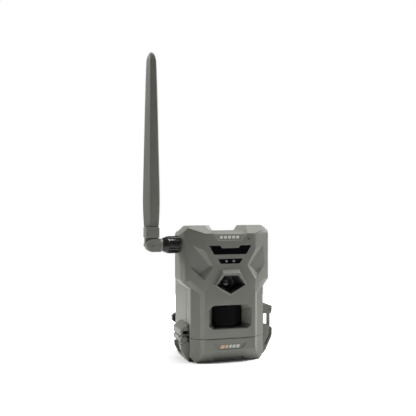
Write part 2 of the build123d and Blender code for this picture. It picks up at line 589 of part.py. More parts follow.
def main():
    os.makedirs("parts", exist_ok=True)
    case = outer_form()
    hollow = inside_form()
    make_front_housing(case, hollow)
    make_rear_housing(case, hollow)
    make_windows()
    make_optics()
    make_motion_sensor()
    make_electronics()
    make_controls()
    make_battery()
    make_rear_fittings()
    make_door(case)
    make_latch()
    make_antenna()
    print(len(saved), "nodes:", ", ".join(saved))


main()
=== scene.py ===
import json
import math

import bmesh
import bpy
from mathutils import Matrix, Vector

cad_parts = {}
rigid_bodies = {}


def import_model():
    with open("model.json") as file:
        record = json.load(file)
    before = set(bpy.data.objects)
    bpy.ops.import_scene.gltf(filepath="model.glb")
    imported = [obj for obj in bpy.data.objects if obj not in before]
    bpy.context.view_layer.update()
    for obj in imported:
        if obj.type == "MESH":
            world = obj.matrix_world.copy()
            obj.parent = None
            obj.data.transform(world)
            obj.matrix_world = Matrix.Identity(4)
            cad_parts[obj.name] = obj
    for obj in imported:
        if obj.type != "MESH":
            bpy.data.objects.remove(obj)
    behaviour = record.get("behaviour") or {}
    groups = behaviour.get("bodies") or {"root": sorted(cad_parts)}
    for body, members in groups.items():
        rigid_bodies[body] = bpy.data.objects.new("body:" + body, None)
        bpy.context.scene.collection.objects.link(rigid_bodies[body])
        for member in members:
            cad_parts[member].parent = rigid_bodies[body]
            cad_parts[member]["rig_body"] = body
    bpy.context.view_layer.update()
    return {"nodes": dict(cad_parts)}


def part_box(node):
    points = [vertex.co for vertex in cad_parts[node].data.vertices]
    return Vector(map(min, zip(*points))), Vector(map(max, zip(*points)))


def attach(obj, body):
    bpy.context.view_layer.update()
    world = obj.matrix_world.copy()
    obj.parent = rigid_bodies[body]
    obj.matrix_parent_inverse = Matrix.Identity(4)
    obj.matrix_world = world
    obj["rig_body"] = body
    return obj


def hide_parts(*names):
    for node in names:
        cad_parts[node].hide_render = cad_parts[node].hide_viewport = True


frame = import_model()

# ---- Sizes and places, in metres, worked out from the frame ----
MM = 0.001
NODES = frame["nodes"]
FRONT_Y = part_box("ir_window")[0].y - 0.5 * MM  # the flat front face
ELBOW_LOW, ELBOW_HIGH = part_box("antenna_elbow")
NUT_LOW, NUT_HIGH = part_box("antenna_nut")
NUT_AXIS = (NUT_LOW + NUT_HIGH) / 2
BLADE_LOW, BLADE_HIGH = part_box("antenna_blade")
LENS_LOW, LENS_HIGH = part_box("lens_barrel")
LENS_AXIS = (LENS_LOW + LENS_HIGH) / 2


# ---- Shader maths ----
class Sock:
    """A shader socket that can be added, multiplied and so on."""

    def __init__(self, tree, out):
        self.tree, self.out = tree, out

    def maths(self, operation, left, right=None):
        node = self.tree.nodes.new("ShaderNodeMath")
        node.operation = operation
        for socket, value in zip(node.inputs, (left, right)):
            if isinstance(value, Sock):
                self.tree.links.new(value.out, socket)
            elif value is not None:
                socket.default_value = value
        return Sock(self.tree, node.outputs[0])

    def __add__(self, other):
        return self.maths("ADD", self, other)

    def __radd__(self, other):
        return self.maths("ADD", other, self)

    def __sub__(self, other):
        return self.maths("SUBTRACT", self, other)

    def __rsub__(self, other):
        return self.maths("SUBTRACT", other, self)

    def __mul__(self, other):
        return self.maths("MULTIPLY", self, other)

    def __rmul__(self, other):
        return self.maths("MULTIPLY", other, self)

    def clamp(self, low=0.0, high=1.0):
        return self.maths("MINIMUM", self.maths("MAXIMUM", self, low), high)

    def step(self, edge):
        return self.maths("GREATER_THAN", self, edge)

    def fold(self):
        return self.maths("ABSOLUTE", self)


def new_node(tree, kind, settings=None, output=0, **inputs):
    """A node: its type, then its settings, then the values or links of its sockets."""
    node = tree.nodes.new(kind)
    for name, value in (settings or {}).items():
        if name == "stops":
            ramp = node.color_ramp.elements
            for index, (place, colour) in enumerate(value):
                element = ramp[index] if index < 2 else ramp.new(place)
                element.position, element.color = place, (*colour, 1.0)
        else:
            setattr(node, name, value)
    for name, value in inputs.items():
        key = name.replace("_", " ")
        socket = node.inputs[int(key[1:])] if key[0] == "i" and key[1:].isdigit() else node.inputs[key]
        if isinstance(value, Sock):
            tree.links.new(value.out, socket)
        else:
            socket.default_value = value
    return Sock(tree, node.outputs[output])


class Finish:
    """A material with a Principled shader, whose plain values are set on its own sockets."""

    def __init__(self, name, colour, roughness=0.5, metallic=0.0, **plain):
        self.material = bpy.data.materials.new(name)
        self.material.use_nodes = True
        self.tree = self.material.node_tree
        self.shader = self.tree.nodes["Principled BSDF"]
        self.set("Base Color", (*colour, 1.0))
        self.set("Roughness", roughness)
        self.set("Metallic", metallic)
        for socket, value in plain.items():
            self.set(socket.replace("_", " "), value)
        self.place = self.node("ShaderNodeTexCoord", output=3)

    def set(self, socket, value):
        if isinstance(value, Sock):
            self.tree.links.new(value.out, self.shader.inputs[socket])
        else:
            self.shader.inputs[socket].default_value = value

    def node(self, kind, settings=None, output=0, **inputs):
        return new_node(self.tree, kind, settings, output, **inputs)

    def noise(self, size, detail=2.0, stretch=(1, 1, 1), roughness=0.5):
        """Noise whose features are about size metres across."""
        where = self.node("ShaderNodeMapping", Vector=self.place, Scale=stretch)
        return self.node(
            "ShaderNodeTexNoise", Vector=where, Scale=1.0 / size, Detail=detail, Roughness=roughness
        )

    def grain(self, size, stretch=(1, 1, 1)):
        """Rounded cells about size metres across, as on a spark-eroded mould."""
        where = self.node("ShaderNodeMapping", Vector=self.place, Scale=stretch)
        return self.node("ShaderNodeTexVoronoi", {"feature": "SMOOTH_F1"}, Vector=where, Scale=1.0 / size)

    def blend(self, amount, low, high):
        """A colour between low and high."""
        ends = [(*c, 1.0) if isinstance(c, tuple) else c for c in (low, high)]
        return self.node("ShaderNodeMix", {"data_type": "RGBA"}, 2, i0=amount, i6=ends[0], i7=ends[1])

    def bump(self, height, strength, distance):
        self.set("Normal", self.node("ShaderNodeBump", Height=height, Strength=strength, Distance=distance))

    def axis(self, index):
        return self.node("ShaderNodeSeparateXYZ", output=index, Vector=self.place)


# ---- Finishes ----
def case_plastic():
    f = Finish("case_plastic", (0.115, 0.118, 0.100), 0.5, Specular_IOR_Level=0.5)
    cloud = f.noise(0.018, 4.0)
    speck = f.noise(0.0009, 2.0)
    worn = (cloud - 0.5) * 0.55 + (speck - 0.5) * 0.35 + 0.5
    f.set("Base Color", f.blend(worn.clamp(), (0.098, 0.101, 0.085), (0.134, 0.137, 0.118)))
    f.set("Roughness", 0.44 + cloud * 0.10 + speck * 0.06)
    texture = f.grain(0.00055) * 0.6 + f.noise(0.0003, 3.0) * 0.5
    f.bump(texture, 0.30, 0.00006)
    return f.material


def antenna_plastic():
    f = Finish("antenna_plastic", (0.12, 0.122, 0.105), 0.42, Specular_IOR_Level=0.5)
    cloud = f.noise(0.03, 3.0, (1, 1, 0.35))
    f.set("Base Color", f.blend(cloud, (0.104, 0.107, 0.092), (0.138, 0.141, 0.122)))
    f.set("Roughness", 0.36 + cloud * 0.14)
    f.bump(f.noise(0.0005, 3.0), 0.22, 0.00005)
    return f.material


def black_plastic(name="black_plastic", roughness=0.42, size=0.0006):
    f = Finish(name, (0.012, 0.012, 0.0125), roughness, Specular_IOR_Level=0.28)
    cloud = f.noise(0.012, 3.0)
    f.set("Base Color", f.blend(cloud, (0.008, 0.008, 0.0085), (0.020, 0.020, 0.021)))
    f.set("Roughness", roughness - 0.08 + cloud * 0.18)
    f.bump(f.grain(size), 0.25, 0.00005)
    return f.material


def smoked_window():
    f = Finish("smoked_window", (0.0035, 0.0035, 0.004), 0.08, Specular_IOR_Level=0.16)
    smear = f.noise(0.02, 3.0, (1, 1, 2.2))
    f.set("Base Color", f.blend(smear, (0.0015, 0.0015, 0.002), (0.005, 0.005, 0.006)))
    f.set("Roughness", 0.06 + smear * 0.10)
    return f.material


def motion_lens_skin():
    f = Finish("motion_lens_skin", (0.006, 0.006, 0.007), 0.3, Specular_IOR_Level=0.03)
    haze = f.noise(0.008, 3.0)
    f.set("Base Color", f.blend(haze, (0.0015, 0.0015, 0.002), (0.004, 0.004, 0.005)))
    f.set("Roughness", 0.24 + haze * 0.14)
    return f.material


def coated_glass():
    f = Finish("coated_glass", (0.004, 0.004, 0.007), 0.12, Coat_Weight=0.25, Coat_Roughness=0.10)
    # painted reflection: the colour turns a lighter purple where the glass is seen at a grazing angle,
    # standing in for the coating's reflection
    rim = f.node("ShaderNodeLayerWeight", output=1, Blend=0.35)
    f.set("Base Color", f.blend(rim, (0.006, 0.006, 0.009), (0.035, 0.030, 0.055)))
    f.set("Roughness", 0.10 + f.noise(0.004) * 0.06)
    return f.material


def light_lens():
    f = Finish("light_lens", (0.16, 0.16, 0.155), 0.16, Coat_Weight=0.6)
    f.set("Base Color", f.blend(f.noise(0.0008, 2.0), (0.10, 0.10, 0.10), (0.24, 0.24, 0.23)))
    return f.material


def metal(name, dark, light, roughness, brush=(1, 1, 1)):
    f = Finish(name, light, roughness, 1.0)
    streak = f.noise(0.0012, 4.0, brush)
    f.set("Base Color", f.blend(streak, dark, light))
    f.set("Roughness", roughness - 0.08 + streak * 0.2)
    f.bump(streak, 0.15, 0.00003)
    return f.material


def soft_rubber():
    f = Finish("soft_rubber", (0.015, 0.015, 0.015), 0.75)
    f.set("Base Color", f.blend(f.noise(0.004), (0.010, 0.010, 0.010), (0.026, 0.026, 0.025)))
    f.bump(f.noise(0.0004), 0.3, 0.00004)
    return f.material


def circuit_board():
    f = Finish("circuit_board", (0.01, 0.09, 0.03), 0.35, Coat_Weight=0.4)
    cells = {"feature": "F1", "distance": "CHEBYCHEV"}
    track = f.node("ShaderNodeTexVoronoi", cells, Vector=f.place, Scale=260.0)
    copper = track.maths("LESS_THAN", (track - 0.42).fold(), 0.035)
    f.set("Base Color", f.blend(copper, (0.008, 0.075, 0.028), (0.03, 0.16, 0.06)))
    f.bump(copper, 0.2, 0.00003)
    f.set("Roughness", 0.30 + f.noise(0.003) * 0.15)
    return f.material


def battery_jacket():
    f = Finish("battery_jacket", (0.04, 0.04, 0.045), 0.3, Coat_Weight=0.5)
    z = f.axis(2)
    low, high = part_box("battery_cells")
    band = z.step(low.z + 0.70 * (high.z - low.z))
    cap = z.step(high.z - 2.2 * MM)
    colour = f.blend(band, (0.018, 0.019, 0.022), (0.40, 0.19, 0.06))
    f.set("Base Color", f.blend(cap, colour, (0.62, 0.62, 0.62)))
    f.set("Metallic", cap * 0.9 + 0.05)
    f.set("Roughness", 0.26 + f.noise(0.004) * 0.16)
    return f.material


def grey_plastic():
    f = Finish("grey_plastic", (0.10, 0.10, 0.10), 0.5)
    f.set("Base Color", f.blend(f.noise(0.01), (0.075, 0.075, 0.075), (0.13, 0.13, 0.13)))
    f.bump(f.noise(0.0005), 0.2, 0.00005)
    return f.material


def printed_ink(name, dark, light):
    f = Finish(name, light, 0.45)
    f.set("Base Color", f.blend(f.noise(0.0007, 2.0), dark, light))
    return f.material


CASE = case_plastic()
ANTENNA = antenna_plastic()
BLACK = black_plastic()
BLACK_GLOSS = black_plastic("black_satin", 0.28, 0.0004)
WINDOW = smoked_window()
MOTION = motion_lens_skin()
GLASS = coated_glass()
LIGHT = light_lens()
STEEL = metal("brushed_steel", (0.34, 0.34, 0.35), (0.62, 0.62, 0.63), 0.30)
ZINC = metal("black_zinc_screw", (0.03, 0.03, 0.03), (0.09, 0.09, 0.09), 0.38)
BRASS = metal("turned_brass", (0.46, 0.31, 0.10), (0.74, 0.55, 0.24), 0.26)
RUBBER = soft_rubber()
BOARD = circuit_board()
JACKET = battery_jacket()
GREY = grey_plastic()
PALE_INK = printed_ink("pale_ink", (0.34, 0.35, 0.33), (0.50, 0.51, 0.48))
WARM_INK = printed_ink("warm_ink", (0.42, 0.26, 0.16), (0.60, 0.40, 0.26))


# ---- Mesh helpers ----
SHARP = math.radians(38)  # edges steeper than this keep a crease
FLAT = math.radians(1.5)  # faces closer to one plane than this become one
SHORTEST = 2.2  # an edge shorter than this many radii stays as it is
FACE_SHARE = 0.42  # the most of a face's width that one radius takes


def piece(name, mesh, material, body, slot, *nodes):
    """A finished piece: it rides its body and stands for its CAD nodes."""
    obj = bpy.data.objects.new(name, mesh)
    bpy.context.scene.collection.objects.link(obj)
    mesh.materials.clear()
    mesh.materials.append(material)
    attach(obj, body)
    if nodes:
        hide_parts(*nodes)
    return obj


def body_of_node(node):
    return NODES[node]["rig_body"]


def settled(obj):
    """The object's mesh with its modifiers applied; the object is then removed."""
    graph = bpy.context.evaluated_depsgraph_get()
    mesh = bpy.data.meshes.new_from_object(obj.evaluated_get(graph))
    bpy.data.objects.remove(obj)
    return mesh


def mark_edges(mesh, width, angle):
    """Weight the edges that get a radius: long enough, sharp enough, and thinner where a face is narrow."""
    bm = bmesh.new()
    bm.from_mesh(mesh)
    layer = bm.edges.layers.float.new("bevel_weight_edge")
    for edge in bm.edges:
        length = edge.calc_length()
        if len(edge.link_faces) != 2 or length < SHORTEST * width:
            continue
        if edge.calc_face_angle() < math.radians(angle):
            continue
        room = min(face.calc_area() / length for face in edge.link_faces)
        edge[layer] = min(1.0, FACE_SHARE * room / width)
    bm.to_mesh(mesh)
    bm.free()


def modified(mesh, kind, **settings):
    """The mesh after one modifier."""
    obj = bpy.data.objects.new("work", mesh)
    bpy.context.scene.collection.objects.link(obj)
    modifier = obj.modifiers.new("finish", kind)
    for name, value in settings.items():
        setattr(modifier, name, value)
    return settled(obj)


def bevelled(mesh, width, segments=3, angle=22.0):
    """The mesh with rounded edges, and shading that follows its large faces."""
    mark_edges(mesh, width, angle)
    bevel = {"width": width, "segments": segments, "limit_method": "WEIGHT", "use_clamp_overlap": False}
    mesh = modified(mesh, "BEVEL", **bevel)
    for polygon in mesh.polygons:
        polygon.use_smooth = True
    mesh.set_sharp_from_angle(angle=SHARP)
    return modified(mesh, "WEIGHTED_NORMAL", mode="FACE_AREA_WITH_ANGLE", weight=60, keep_sharp=True)


def merged_copy(node):
    """A CAD node's mesh with its loose triangles joined and its flat faces made whole."""
    mesh = NODES[node].data.copy()
    for name in [a.name for a in mesh.attributes if a.name.startswith("custom_normal")]:
        mesh.attributes.remove(mesh.attributes[name])
    bm = bmesh.new()
    bm.from_mesh(mesh)
    bmesh.ops.remove_doubles(bm, verts=bm.verts, dist=0.004 * MM)
    bmesh.ops.dissolve_limit(bm, angle_limit=FLAT, verts=bm.verts, edges=bm.edges)
    bmesh.ops.triangulate(bm, faces=bm.faces)
    bmesh.ops.recalc_face_normals(bm, faces=bm.faces)
    bm.to_mesh(mesh)
    bm.free()
    return mesh


def joined(name, *meshes):
    """One mesh made of several."""
    bm = bmesh.new()
    for mesh in meshes:
        bm.from_mesh(mesh)
    whole = bpy.data.meshes.new(name)
    bm.to_mesh(whole)
    bm.free()
    return whole


def rounded_node(node, material, slot, width, segments=3, angle=22.0, name=None):
    """The CAD node again, with moulded edge radii."""
    mesh = bevelled(merged_copy(node), width, segments, angle)
    return piece(name or node + "_moulded", mesh, material, body_of_node(node), slot, node)


def loft(sections):
    """A mesh skinned over a list of rings with equal point counts."""
    bm = bmesh.new()
    rings = [[bm.verts.new(point) for point in ring] for ring in sections]
    for low, high in zip(rings, rings[1:]):
        count = len(low)
        for index in range(count):
            after = (index + 1) % count
            bm.faces.new((low[index], low[after], high[after], high[index]))
    bm.faces.new(list(reversed(rings[0])))
    bm.faces.new(rings[-1])
    bmesh.ops.recalc_face_normals(bm, faces=bm.faces)
    mesh = bpy.data.meshes.new("loft")
    bm.to_mesh(mesh)
    bm.free()
    for polygon in mesh.polygons:
        polygon.use_smooth = True
    return mesh


def turned(profile, axis_point, axis="y", count=72):
    """A turned piece: profile is (distance along the axis, radius) pairs."""
    sections = []
    for along, radius in profile:
        ring = []
        for index in range(count):
            turn = math.tau * index / count
            a, b = radius * math.cos(turn), radius * math.sin(turn)
            place = {"y": (a, along, b), "x": (along, a, b), "z": (a, b, along)}[axis]
            ring.append(Vector(axis_point) + Vector(place))
        sections.append(ring)
    return loft(sections)


# ---- Geometry trees ----
class Growth:
    """A geometry tree with named inputs, which makes what repeats."""

    def __init__(self, name, **sizes):
        self.tree = bpy.data.node_groups.new(name, "GeometryNodeTree")
        self.sizes = sizes
        kinds = {float: "NodeSocketFloat", int: "NodeSocketInt", Vector: "NodeSocketVector"}
        self.tree.interface.new_socket("Geometry", in_out="OUTPUT", socket_type="NodeSocketGeometry")
        for label, value in sizes.items():
            self.tree.interface.new_socket(label, in_out="INPUT", socket_type=kinds[type(value)])
        self.source = self.tree.nodes.new("NodeGroupInput")

    def size(self, label):
        return Sock(self.tree, self.source.outputs[label])

    def node(self, kind, settings=None, output=0, **inputs):
        return new_node(self.tree, kind, settings, output, **inputs)

    def vector(self, x, y, z):
        return self.node("ShaderNodeCombineXYZ", X=x, Y=y, Z=z)

    def index(self):
        return self.node("GeometryNodeInputIndex")

    def points(self, count, place):
        cloud = self.node("GeometryNodePoints", Count=count)
        return self.node("GeometryNodeSetPosition", Geometry=cloud, Position=place)

    def copies(self, points, shape, turn):
        return self.node("GeometryNodeInstanceOnPoints", Points=points, Instance=shape, Rotation=turn)

    def box(self, size):
        return self.node("GeometryNodeMeshCube", Size=size)

    def join(self, *parts):
        node = self.tree.nodes.new("GeometryNodeJoinGeometry")
        for part in parts:
            self.tree.links.new(part.out, node.inputs[0])
        return Sock(self.tree, node.outputs[0])

    def moved(self, shape, by, turn=(0, 0, 0)):
        return self.node("GeometryNodeTransform", Geometry=shape, Translation=by, Rotation=turn)

    def mesh(self, shape, material):
        """The finished plain mesh."""
        real = self.node("GeometryNodeRealizeInstances", Geometry=shape)
        done = self.node("GeometryNodeSetMaterial", Geometry=real, Material=material)
        end = self.tree.nodes.new("NodeGroupOutput")
        self.tree.links.new(done.out, end.inputs[0])
        obj = bpy.data.objects.new("growing", bpy.data.meshes.new("growing"))
        bpy.context.scene.collection.objects.link(obj)
        modifier = obj.modifiers.new("growth", "NODES")
        modifier.node_group = self.tree
        for item in self.tree.interface.items_tree:
            if item.in_out == "INPUT":
                value = self.sizes[item.name]
                modifier[item.identifier] = list(value) if isinstance(value, Vector) else value
        mesh = settled(obj)
        if not mesh.polygons:
            raise RuntimeError(self.tree.name + " made nothing")
        return mesh


# ---- Case ----
def make_case():
    rounded_node("front_housing", CASE, "case_green", 0.75 * MM, 3, 14.0, "front_shell")
    rounded_node("rear_housing", CASE, "case_green", 0.7 * MM, 3, 20.0, "rear_shell")
    rounded_node("bottom_door", CASE, "case_green", 0.5 * MM, 3, 18.0, "door_shell")
    rounded_node("latch_lever", CASE, "case_green", 0.45 * MM, 3, 25.0, "latch_lever_moulded")
    rounded_node("latch_link", CASE, "case_green", 0.45 * MM, 3, 25.0, "latch_link_moulded")
    rounded_node("tree_bracket", BLACK, "black_plastic", 0.5 * MM, 3, 25.0, "tree_bracket_moulded")
    rounded_node("battery_tray", GREY, "grey_plastic", 0.3 * MM, 2, 30.0, "battery_tray_moulded")
    rounded_node("control_panel", BLACK, "black_plastic", 0.2 * MM, 2, 30.0, "control_panel_moulded")


# ---- Front windows and lens ----
def make_windows():
    rounded_node("ir_window", WINDOW, "black_window", 0.35 * MM, 3, 25.0, "ir_window_polished")
    rounded_node("status_window", WINDOW, "black_window", 0.25 * MM, 2, 40.0, "status_window_polished")
    low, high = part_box("status_lights")
    z = (low.z + high.z) / 2
    steps = ((2.0, 1.24), (0.3, 1.24), (0.1, 1.0), (0.02, 0.5))
    profile = [(low.y + along * MM, radius * MM) for along, radius in steps]
    domes = [turned(profile, (x, 0, z), "y", 32) for x in (low.x + 1.3 * MM, high.x - 1.3 * MM)]
    mesh = joined("status_lights", *domes)
    for polygon in mesh.polygons:
        polygon.use_smooth = True
    piece("status_light_lenses", mesh, LIGHT, "housing", "clear_glass", "status_lights")


def make_lens():
    rounded_node("lens_bezel", BLACK_GLOSS, "black_plastic", 0.2 * MM, 2, 30.0, "lens_bezel_moulded")
    x, z = LENS_AXIS.x, LENS_AXIS.z
    front = LENS_LOW.y
    steps = [
        (8.0, 6.0), (0.25, 6.0), (0.0, 5.8), (0.0, 5.5), (0.5, 5.35),
        (0.5, 5.1), (0.9, 5.0), (0.9, 4.86), (1.9, 4.82), (8.0, 4.82),
    ]
    barrel = turned([(front + along * MM, radius * MM) for along, radius in steps], (x, 0, z), "y")
    piece("lens_barrel_turned", barrel, BLACK_GLOSS, "housing", "black_plastic", "lens_barrel")
    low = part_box("lens_glass")[0]
    radius, dome = 4.78 * MM, 10.5 * MM
    rings = []
    for index in range(11):
        r = max(radius * (1 - index / 10), 0.02 * MM)
        rings.append((low.y + dome - math.sqrt(dome * dome - r * r), r))
    rings.insert(0, (low.y + 1.8 * MM, radius))
    piece("lens_glass_ground", turned(rings, (x, 0, z), "y"), GLASS, "housing", "clear_glass", "lens_glass")


def make_motion_lens():
    """The curved sheet with its moulded ribs."""
    low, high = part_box("pir_lens")
    half = (high.x - low.x) / 2
    bulge = high.y - low.y
    radius = (half * half + bulge * bulge) / (2 * bulge)
    centre_y = low.y + radius
    reach = math.asin(half / radius)
    columns = 64
    sections = []
    for index in range(columns + 1):
        turn = -reach + 2 * reach * index / columns
        skin = radius - 0.05 * MM - (0.10 * MM if index % 4 == 0 else 0.0)
        outer = Vector((skin * math.sin(turn), centre_y - skin * math.cos(turn), 0))
        deep = radius - 0.85 * MM
        inner = Vector((deep * math.sin(turn), centre_y - deep * math.cos(turn), 0))
        lift = Vector((0, 0, low.z + 0.1 * MM))
        top = Vector((0, 0, high.z - 0.1 * MM))
        sections.append([outer + lift, outer + top, inner + top, inner + lift])
    mesh = loft(sections)
    for polygon in mesh.polygons:
        polygon.use_smooth = False
    piece("motion_lens_sheet", mesh, MOTION, "housing", "black_window", "pir_lens")


INK_ROOT, INK_THICK = 0.05 * MM, 0.10 * MM  # below and above the surface


def make_marks():
    """Plain marks where a badge would be: slanted bars, with no lettering."""
    def bars(name, spans, base, along_up, lean, material, body):
        slant, height = lean
        bm = bmesh.new()
        up = Vector(along_up).normalized()
        out = Vector((1, 0, 0)).cross(up).normalized()
        if out.y > 0:
            out.negate()
        for start, end in spans:
            corners = []
            for x, lift in ((start, 0), (end, 0), (end + slant, height), (start + slant, height)):
                corners.append(Vector(base) + Vector((x * MM, 0, 0)) + up * lift * MM)
            low = [bm.verts.new(c - out * INK_ROOT) for c in corners]
            high = [bm.verts.new(c + out * INK_THICK) for c in corners]
            bm.faces.new(low[::-1])
            bm.faces.new(high)
            for index in range(4):
                after = (index + 1) % 4
                bm.faces.new((low[index], low[after], high[after], high[index]))
        bmesh.ops.recalc_face_normals(bm, faces=bm.faces)
        mesh = bpy.data.meshes.new(name)
        bm.to_mesh(mesh)
        bm.free()
        piece(name, mesh, material, body, "case_green")

    channel = Vector((0, FRONT_Y + 1.9 * MM, 120.4 * MM))
    channel_up = (0, 2.4, 6.4)
    spans = [(-10.2 + 4.2 * step, -7.4 + 4.2 * step) for step in range(5)]
    bars("channel_mark", spans, channel, channel_up, (0.5, 2.6), PALE_INK, "housing")
    door = Vector((0, FRONT_Y + 0.7 * MM, 14.2 * MM))
    door_up = (0, 0, 1)
    warm, pale = [(-10.2, -6.4), (-5.4, -2.6)], [(-1.4, 1.0), (2.0, 4.8), (5.8, 9.0)]
    bars("door_mark_warm", warm, door, door_up, (1.0, 2.9), WARM_INK, "door")
    bars("door_mark_pale", pale, door, door_up, (1.0, 2.9), PALE_INK, "door")


# ---- Antenna ----
BLADE_TURN = math.radians(24)
NUT_RIBS = 12
NECK_TOP = 131.6 * MM  # the square neck ends here, inside the blade
BLADE_LEVELS = [  # height, half width and half depth, in mm
    (131.0, 5.9, 4.0), (131.4, 6.5, 4.35), (132.4, 7.0, 4.6), (134.5, 7.25, 4.7),
    (140.0, 7.6, 4.85), (148.0, 7.95, 5.08), (156.0, 8.12, 5.18), (170.0, 7.95, 5.08),
    (200.0, 7.3, 4.72), (240.0, 6.4, 4.2), (275.0, 5.5, 3.75), (292.0, 4.9, 3.45),
    (296.0, 4.0, 2.85), (298.6, 2.6, 1.9), (300.0, 1.1, 0.9), (300.4, 0.4, 0.35),
]


def blade_section(z, half, deep, cx, cy):
    """Six-sided, with a ridge down the front and the rear, and turned a little to the left."""
    edge = 0.34 * deep
    ring = ((half, edge), (0, deep), (-half, edge), (-half, -edge), (0, -deep), (half, -edge))
    c, s = math.cos(BLADE_TURN) * MM, math.sin(BLADE_TURN) * MM
    return [Vector((cx + px * c + py * s, cy - px * s + py * c, z * MM)) for px, py in ring]


def make_antenna():
    cx = (BLADE_LOW.x + BLADE_HIGH.x) / 2
    cy = (ELBOW_LOW.y + ELBOW_HIGH.y) / 2
    skin = loft([blade_section(z, half, deep, cx, cy) for z, half, deep in BLADE_LEVELS])
    blade = bevelled(skin, 0.5 * MM, 3, 24.0)
    neck = merged_copy("antenna_blade")
    bm = bmesh.new()
    bm.from_mesh(neck)
    everything = bm.verts[:] + bm.edges[:] + bm.faces[:]
    top = {"plane_co": (0, 0, NECK_TOP), "plane_no": (0, 0, 1), "clear_outer": True}
    cut = bmesh.ops.bisect_plane(bm, geom=everything, **top)
    edges = [e for e in cut["geom_cut"] if isinstance(e, bmesh.types.BMEdge)]
    bmesh.ops.holes_fill(bm, edges=edges)
    bm.to_mesh(neck)
    bm.free()
    neck = bevelled(neck, 0.5 * MM, 3, 30.0)
    whole = joined("antenna_blade_moulded", blade, neck)
    piece("antenna_blade_moulded", whole, ANTENNA, "antenna_blade", "case_green", "antenna_blade")
    rounded_node("antenna_elbow", ANTENNA, "case_green", 0.45 * MM, 3, 30.0, "antenna_elbow_moulded")
    make_nut()


def make_nut():
    """The black coupling nut: a waisted body with grip ribs."""
    right, left = NUT_HIGH.x, NUT_LOW.x
    profile = [
        (right, 3.3), (right, 7.3), (right - 0.5 * MM, 7.8), (right - 11.0 * MM, 7.8),
        (right - 11.4 * MM, 8.3), (right - 12.0 * MM, 8.3), (right - 12.6 * MM, 7.9),
        (left + 0.5 * MM, 6.7), (left, 6.3), (left, 3.3),
    ]
    body = turned([(x, radius * MM) for x, radius in profile], (0, NUT_AXIS.y, NUT_AXIS.z), "x", 96)
    sizes = {"Radius": 7.9 * MM, "Length": 10.2 * MM, "Width": 1.5 * MM, "Height": 1.0 * MM}
    grip = Growth("grip_ribs", Count=NUT_RIBS, **sizes)
    angle = grip.index() * (math.tau / NUT_RIBS)
    place = grip.vector(
        right - 5.7 * MM,
        NUT_AXIS.y + grip.size("Radius") * angle.maths("COSINE", angle),
        NUT_AXIS.z + grip.size("Radius") * angle.maths("SINE", angle),
    )
    bar = grip.box(grip.vector(grip.size("Length"), grip.size("Height"), grip.size("Width")))
    ribs = grip.copies(grip.points(grip.size("Count"), place), bar, grip.vector(angle, 0.0, 0.0))
    ribs = bevelled(grip.mesh(ribs, BLACK_GLOSS), 0.3 * MM, 2, 30.0)
    mesh = joined("antenna_nut_moulded", body, ribs)
    piece("antenna_nut_moulded", mesh, BLACK_GLOSS, "antenna_nut", "black_plastic", "antenna_nut")


# ---- Small repeated pieces ----
def both_sides(x, heights):
    """Places at the same distance left and right of the middle."""
    return [(side * x, z) for z in heights for side in (-1, 1)]


SCREW_SETS = {  # node: head radius and height in mm, and the X and Z of each screw
    "housing_screws": (2.45, 1.8, both_sides(34.0, (31.0, 74.0)) + both_sides(30.6, (118.0,))),
    "bracket_screws": (2.75, 1.6, both_sides(24.0, (33.5, 80.5))),
}


def make_screws():
    for node, (radius, head, places) in SCREW_SETS.items():
        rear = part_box(node)[1].y
        grow = Growth(node + "_heads", Radius=radius * MM, Height=head * MM, Slot=0.55 * MM)
        round_size, tall = grow.size("Radius"), grow.size("Height")
        settings = {"fill_type": "NGON"}
        disc = grow.node("GeometryNodeMeshCylinder", settings, Vertices=28, Radius=round_size, Depth=tall)
        arm_a = grow.box(grow.vector(round_size * 1.15, grow.size("Slot"), tall))
        arm_b = grow.box(grow.vector(grow.size("Slot"), round_size * 1.15, tall))
        cross = grow.moved(grow.join(arm_a, arm_b), (0, 0, 0.9 * MM))
        cutter = grow.tree.nodes.new("GeometryNodeMeshBoolean")
        cutter.operation = "DIFFERENCE"
        grow.tree.links.new(disc.out, cutter.inputs[0])
        grow.tree.links.new(cross.out, cutter.inputs[1])
        shape = grow.moved(Sock(grow.tree, cutter.outputs[0]), (0, 0, 0), (-math.pi / 2, 0, 0))
        heads = [grow.moved(shape, (x * MM, rear - head * MM / 2, z * MM)) for x, z in places]
        mesh = bevelled(grow.mesh(grow.join(*heads), ZINC), 0.15 * MM, 2, 40.0)
        piece(node + "_driven", mesh, ZINC, "housing", "steel", node)


def make_springs():
    """Coil springs under the cells."""
    low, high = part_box("battery_springs")
    cells = sorted({(x, y) for x in (-22.2, -7.4, 7.4, 22.2) for y in (41.6, 56.8)})
    tall = high.z - low.z - 0.6 * MM
    grow = Growth("cell_springs", Wide=4.2 * MM, Narrow=2.3 * MM, Wire=0.28 * MM, Height=tall)
    coil = grow.node(
        "GeometryNodeCurveSpiral", Resolution=20, Rotations=3.5, Start_Radius=grow.size("Wide"),
        End_Radius=grow.size("Narrow"), Height=grow.size("Height"),
    )
    ring = grow.node("GeometryNodeCurvePrimitiveCircle", Resolution=6, Radius=grow.size("Wire"))
    wire = grow.node("GeometryNodeCurveToMesh", Curve=coil, Profile_Curve=ring, Fill_Caps=True)
    coils = [grow.moved(wire, (x * MM, FRONT_Y + y * MM, low.z + 0.3 * MM)) for x, y in cells]
    mesh = grow.mesh(grow.join(*coils), STEEL)
    piece("battery_springs_wound", mesh, STEEL, "housing", "steel", "battery_springs")


